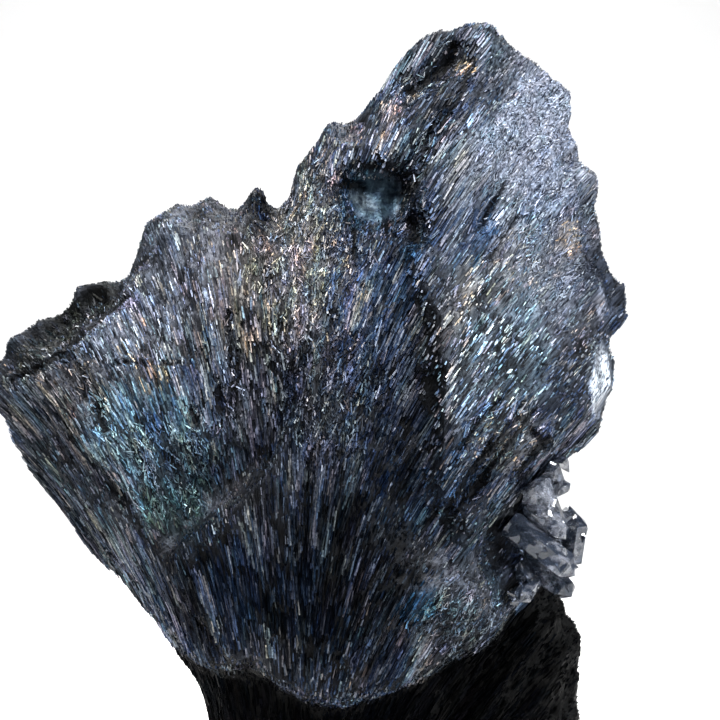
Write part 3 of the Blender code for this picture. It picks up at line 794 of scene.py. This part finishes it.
def placed_points(shape, spot, way, across, above, roll, wide, long):
    """The points of every needle, in millimetres: the unit needle rolled, scaled and set in place."""
    sideways = shape[None, :, 0] * np.cos(roll) - shape[None, :, 1] * np.sin(roll)
    upward = shape[None, :, 0] * np.sin(roll) + shape[None, :, 1] * np.cos(roll)
    placed = (spot[:, None, :]
              + sideways[:, :, None] * (across * wide[:, None])[:, None, :]
              + upward[:, :, None] * (above * wide[:, None])[:, None, :]
              + shape[None, :, 2:3] * (way * long[:, None])[:, None, :])
    placed = placed.reshape(-1, 3)
    placed[:, 2] = np.maximum(placed[:, 2], 0.02)
    return placed


def needle_tone(rng, spot, even, strand, bundle, crack, fissure, seam, crest):
    """How bright each needle is, with painted shade in the gaps between strands, in fissures, seams and the
    shade patches, and a painted highlight on crests.
    """
    # painted shade: the needles are darkened in the shade patches
    shade = strongest(spot, shade_patches)
    uneven = (0.26 + 0.34 * shade) * (1 - 0.6 * even)
    tone = np.exp(uneven * rng.normal(0, 1, len(spot)) + 1.6 * uneven * strand
                  + 0.35 * (1 - even) * bundle - 1.6 * shade - 0.10)
    # painted shade in the gaps between strands and in the fissures
    tone *= mixed(0.20, 1.0, np.maximum(crack, 0.8 * even))
    tone *= mixed(0.12, 1.0, np.maximum(fissure, 0.7 * even))
    # painted shade in the seams, and a painted highlight on the crests
    tone *= (1 - 0.93 * seam) * (1 + 1.8 * crest)
    most = mixed(1.4, 0.95, even)
    return most * np.tanh(tone / most)


def needle_colours(rng, spot, even, tone):
    """The patina colour of each needle, toned with painted shade and highlight, with a faint sheen that
    drifts from warm to blue.
    """
    colours = toned_and_shaded(tarnished_and_shaded(spot, rng.random(len(spot))), np.maximum(tone, 0.02))
    sheen = (1 - 0.65 * even)[:, None]
    colours *= 1 + sheen * streaks(spot, 0.8, 5.0, 36)[:, None] * np.array((0.16, 0.0, -0.18))
    colours *= 1 + sheen * streaks(spot, 1.1, 4.0, 37)[:, None] * np.array((0.05, -0.05, 0.06))
    return np.clip(colours, 0, 0.95)


for name, seed in COATS:
    rng = np.random.default_rng(seed)
    spot, out, usual, strand, gap, seam = needle_seats(rng, regions[name])
    count = len(spot)
    stray = mixed(0.40, 0.035, rising(usual, 0.8, 2.4))
    way = unit(needle_way(spot) + rng.normal(0, 1, (count, 3)) * stray[:, None])
    long = usual * rng.uniform(0.45, 1.6, count)
    wide = rng.uniform(*NEEDLE_WIDE, count) * mixed(0.55, 1.0, rising(usual, 0.5, 1.8))
    bundle = streaks(spot, 0.9, 7.0, 32)
    crack = rising(gap, 0.08, 0.28)
    fissure = rising(streaks(spot, 0.65, 20.0, 33), -0.80, -0.50)
    crest = near(spot, crests) * (1 - seam)

    steep = np.abs((way * out).sum(axis=1))
    stands = TIP_STANDS * (0.2 + 0.8 * rng.random(count)) + 0.07 * bundle
    sink = np.maximum(steep * long / 2 - stands, 0.03 - 0.08 * strand * (1 - steep))
    sink += 0.08 * (1 - crack) + 0.22 * (1 - fissure) + 0.10 * seam - 0.06 * crest
    spot, long = pulled_in(spot - out * sink[:, None], way, long, np.maximum(stands, 0.05))

    even = strongest(spot, calm)
    roll = (math.pi + rng.normal(0, 1, count) * mixed(0.7, 0.25, even))[:, None]
    across = unit(np.cross(way, out + rng.normal(0, 0.1, (count, 3))))
    above = np.cross(across, way)
    coat, shape = needle_stock(name, count)
    placed = placed_points(shape, spot, way, across, above, roll, wide, long)
    coat.data.vertices.foreach_set("co", (placed * MM).ravel())
    coat.data.update()

    tone = needle_tone(rng, spot, even, strand, bundle, crack, fissure, seam, crest)
    colours = needle_colours(rng, spot, even, tone)
    keep_colours(coat.data, "tarnish_and_shade", np.repeat(colours, len(shape), axis=0))
    coat.data.materials.append(needle_metal)
    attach(coat, "root")

# The quartz: grey glassy lumps and stubby crystals grown on the lower right edge. It is
# see-through where it is clear and milky where veils and fine lines run through it.
MILKY_HEART = Vector((34.5, -10.0, 44.0)) * MM
HEART_INSIDE = 1.5 * MM
HEART_OUTSIDE = 5.5 * MM
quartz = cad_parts["quartz_crust"]
glassy = bpy.data.materials.new("smoky_quartz")
glassy.use_nodes = True
nodes = glassy.node_tree.nodes
links = glassy.node_tree.links
shader = nodes["Principled BSDF"]
shader.inputs["Transmission Weight"].default_value = 0.7
shader.inputs["IOR"].default_value = 1.54
place = nodes.new("ShaderNodeTexCoord")
veil = nodes.new("ShaderNodeTexNoise")
veil.inputs["Scale"].default_value = 260
veil.inputs["Detail"].default_value = 8
veil.inputs["Roughness"].default_value = 0.7
veil.inputs["Distortion"].default_value = 0.8
links.new(place.outputs["Object"], veil.inputs["Vector"])
along = nodes.new("ShaderNodeMapping")
along.inputs["Rotation"].default_value = (0, math.radians(-38), 0)
along.inputs["Scale"].default_value = (0.1, 1, 1)
links.new(place.outputs["Object"], along.inputs["Vector"])
lines = nodes.new("ShaderNodeTexNoise")
lines.inputs["Scale"].default_value = 1900
lines.inputs["Detail"].default_value = 2
links.new(along.outputs["Vector"], lines.inputs["Vector"])
streaked = nodes.new("ShaderNodeMath")
streaked.operation = "MULTIPLY_ADD"
streaked.inputs[1].default_value = 0.45
links.new(lines.outputs["Fac"], streaked.inputs[0])
links.new(veil.outputs["Fac"], streaked.inputs[2])
milky = nodes.new("ShaderNodeMapRange")
milky.inputs["From Min"].default_value = 0.68
milky.inputs["From Max"].default_value = 1.06
away = nodes.new("ShaderNodeVectorMath")
away.operation = "DISTANCE"
away.inputs[1].default_value = MILKY_HEART
links.new(place.outputs["Object"], away.inputs[0])
clouded = nodes.new("ShaderNodeMapRange")
clouded.inputs["From Min"].default_value = HEART_INSIDE
clouded.inputs["From Max"].default_value = HEART_OUTSIDE
clouded.inputs["To Min"].default_value = 0.16
clouded.inputs["To Max"].default_value = -0.06
links.new(away.outputs["Value"], clouded.inputs["Value"])
cloudy = nodes.new("ShaderNodeMath")
cloudy.operation = "ADD"
links.new(streaked.outputs["Value"], cloudy.inputs[0])
links.new(clouded.outputs["Result"], cloudy.inputs[1])
links.new(cloudy.outputs["Value"], milky.inputs["Value"])
veil_tone = nodes.new("ShaderNodeValToRGB")
veil_tone.color_ramp.elements[0].color = (0.035, 0.046, 0.070, 1)
veil_tone.color_ramp.elements[1].color = (0.62, 0.65, 0.75, 1)
links.new(milky.outputs["Result"], veil_tone.inputs["Fac"])
links.new(veil_tone.outputs["Color"], shader.inputs["Base Color"])
dull = nodes.new("ShaderNodeMapRange")
dull.inputs["To Min"].default_value = 0.09
dull.inputs["To Max"].default_value = 0.35
links.new(milky.outputs["Result"], dull.inputs["Value"])
links.new(dull.outputs["Result"], shader.inputs["Roughness"])

# Broken facets: each cell of the quartz leans its own way.
cells = nodes.new("ShaderNodeTexVoronoi")
cells.inputs["Scale"].default_value = 900
links.new(place.outputs["Object"], cells.inputs["Vector"])
inside = nodes.new("ShaderNodeVectorMath")
inside.operation = "SUBTRACT"
links.new(place.outputs["Object"], inside.inputs[0])
links.new(cells.outputs["Position"], inside.inputs[1])
leaning = nodes.new("ShaderNodeVectorMath")
leaning.operation = "SUBTRACT"
leaning.inputs[1].default_value = (0.5, 0.5, 0.5)
links.new(cells.outputs["Color"], leaning.inputs[0])
facet = nodes.new("ShaderNodeVectorMath")
facet.operation = "DOT_PRODUCT"
links.new(inside.outputs["Vector"], facet.inputs[0])
links.new(leaning.outputs["Vector"], facet.inputs[1])
bump = nodes.new("ShaderNodeBump")
bump.inputs["Strength"].default_value = 0.7
bump.inputs["Distance"].default_value = 1.0
links.new(facet.outputs["Value"], bump.inputs["Height"])
links.new(bump.outputs["Normal"], shader.inputs["Normal"])
quartz.data.materials.clear()
quartz.data.materials.append(glassy)
